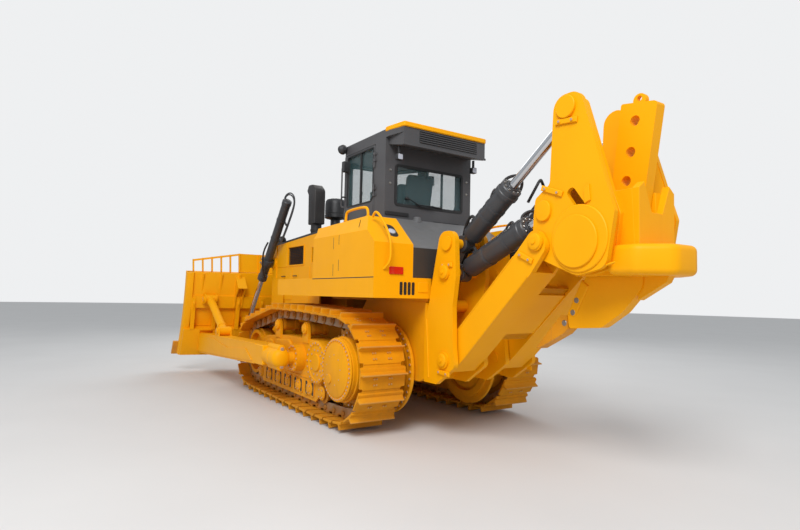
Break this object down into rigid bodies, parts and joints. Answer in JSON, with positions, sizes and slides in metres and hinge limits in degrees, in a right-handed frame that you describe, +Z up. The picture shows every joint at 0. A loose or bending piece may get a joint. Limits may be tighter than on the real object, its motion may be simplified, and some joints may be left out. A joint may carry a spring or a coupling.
{
  "type": "bulldozer",
  "caption": "Tracked bulldozer with a cab, a wide semi-U blade on push arms and a single-shank ripper behind.",
  "frame": {"origin": "ground level, midway between the blade's front and the ripper's rear, on the machine's middle plane", "axes": "+X forward to the blade, +Y to the machine's left, +Z up"},
  "size_m": [9.9196, 4.3, 3.916],
  "materials": {
    "yellow": "satin paint, worn",
    "dark": "satin paint",
    "grey": "satin paint",
    "track": "rusted and soiled",
    "cast": "soiled",
    "steel": "worn bare steel",
    "chrome": "polished",
    "glass": "tinted",
    "fabric": "worn cloth",
    "plastic": "moulded"
  },
  "bodies": {
    "hull": {"track_left": "track", "track_right": "track", "sprockets": "cast", "final_drives": "yellow", "bottom_rollers": "cast", "carrier_rollers": "cast", "idlers": "yellow", "track_frames": "yellow", "main_frame": "dark", "engine_block": "cast", "decks": "yellow", "side_boxes": "yellow", "fuel_tank": "grey", "cab_frame": "dark", "cab_glass": "glass", "cab_roof": "dark", "roof_cap": "yellow", "seat": "fabric", "console": "plastic", "hood_sides": "yellow", "firewall": "dark", "hood_top": "dark", "radiator_guard": "yellow", "grille": "dark", "exhaust_stack": "steel", "precleaner": "plastic", "ripper_bracket": "yellow", "ripper_upper_pins": "steel"},
    "door_left": {"door_left": "dark", "door_glass_left": "glass"},
    "door_right": {"door_right": "dark", "door_glass_right": "glass"},
    "blade": {"blade": "yellow", "cutting_edge": "steel", "spill_guard": "yellow", "push_arms": "yellow", "braces": "yellow"},
    "blade_lift_barrels": {"blade_lift_barrels": "yellow"},
    "blade_lift_rods": {"blade_lift_rods": "chrome"},
    "ripper_arms": {"ripper_arms": "yellow"},
    "ripper_beam": {"ripper_beam": "yellow", "shank": "yellow", "ripper_tip": "steel", "ripper_pins": "steel"},
    "ripper_tilt_barrels": {"ripper_tilt_barrels": "yellow"},
    "ripper_tilt_rods": {"ripper_tilt_rods": "chrome"},
    "ripper_lift_barrels": {"ripper_lift_barrels": "yellow"},
    "ripper_lift_rods": {"ripper_lift_rods": "chrome"}
  },
  "joints": [
    {"name": "door_left_hinge", "type": "hinge", "parent": "hull", "child": "door_left", "pos_m": [-0.96176, 0.758, 3.2], "axis": [0, 0, 1], "range_deg": [0, 90]},
    {"name": "door_right_hinge", "type": "hinge", "parent": "hull", "child": "door_right", "pos_m": [-0.96176, -0.758, 3.2], "axis": [0, 0, -1], "range_deg": [0, 90]},
    {"name": "blade_lift", "type": "hinge", "parent": "hull", "child": "blade", "pos_m": [0.08024, 0, 0.75], "axis": [0, -1, 0], "range_deg": [-11.3, 10.3]},
    {"name": "blade_ram_swing", "type": "hinge", "parent": "hull", "child": "blade_lift_barrels", "pos_m": [2.90024, 0, 2.26], "axis": [0, 1, 0], "range_deg": [-14.74, 16.15]},
    {"name": "blade_ram_stroke", "type": "slide", "parent": "blade_lift_barrels", "child": "blade_lift_rods", "axis": [0.6585, 0, -0.7526], "range_m": [-0.5504, 0.6036]},
    {"name": "ripper_lift", "type": "hinge", "parent": "hull", "child": "ripper_arms", "pos_m": [-2.42976, 0, 0.95], "axis": [0, 1, 0], "range_deg": [-59, 0]},
    {"name": "ripper_level", "type": "hinge", "parent": "ripper_arms", "child": "ripper_beam", "pos_m": [-3.72975, 0, 2.21], "axis": [0, 1, 0], "range_deg": [-0.2, 67.17]},
    {"name": "ripper_lift_ram_swing", "type": "hinge", "parent": "hull", "child": "ripper_lift_barrels", "pos_m": [-2.42976, 0, 1.95], "axis": [0, 1, 0], "range_deg": [-58.28, 0.2]},
    {"name": "ripper_lift_ram_stroke", "type": "slide", "parent": "ripper_lift_barrels", "child": "ripper_lift_rods", "axis": [-0.9216, 0, 0.3881], "range_m": [-0.002, 0.6576]},
    {"name": "ripper_tilt_ram_swing", "type": "hinge", "parent": "hull", "child": "ripper_tilt_barrels", "pos_m": [-2.46475, 0, 2.28], "axis": [0, 1, 0], "range_deg": [-52.54, 0.2]},
    {"name": "ripper_tilt_ram_stroke", "type": "slide", "parent": "ripper_tilt_barrels", "child": "ripper_tilt_rods", "axis": [-0.8025, 0, 0.5967], "range_m": [-0.0102, 0.002]}
  ],
  "couplings": [
    {"joint": "blade_ram_swing", "follows": "blade_lift", "ratio": -1.4116},
    {"joint": "blade_ram_stroke", "follows": "blade_lift", "m_per_rad": -3.0504},
    {"joint": "ripper_level", "follows": "ripper_lift", "ratio": -1.1351},
    {"joint": "ripper_lift_ram_swing", "follows": "ripper_lift", "ratio": 0.98449},
    {"joint": "ripper_lift_ram_stroke", "follows": "ripper_lift", "m_per_rad": -0.63664},
    {"joint": "ripper_tilt_ram_swing", "follows": "ripper_lift", "ratio": 0.88715},
    {"joint": "ripper_tilt_ram_stroke", "follows": "ripper_lift", "m_per_rad": 0.007924}
  ]
}
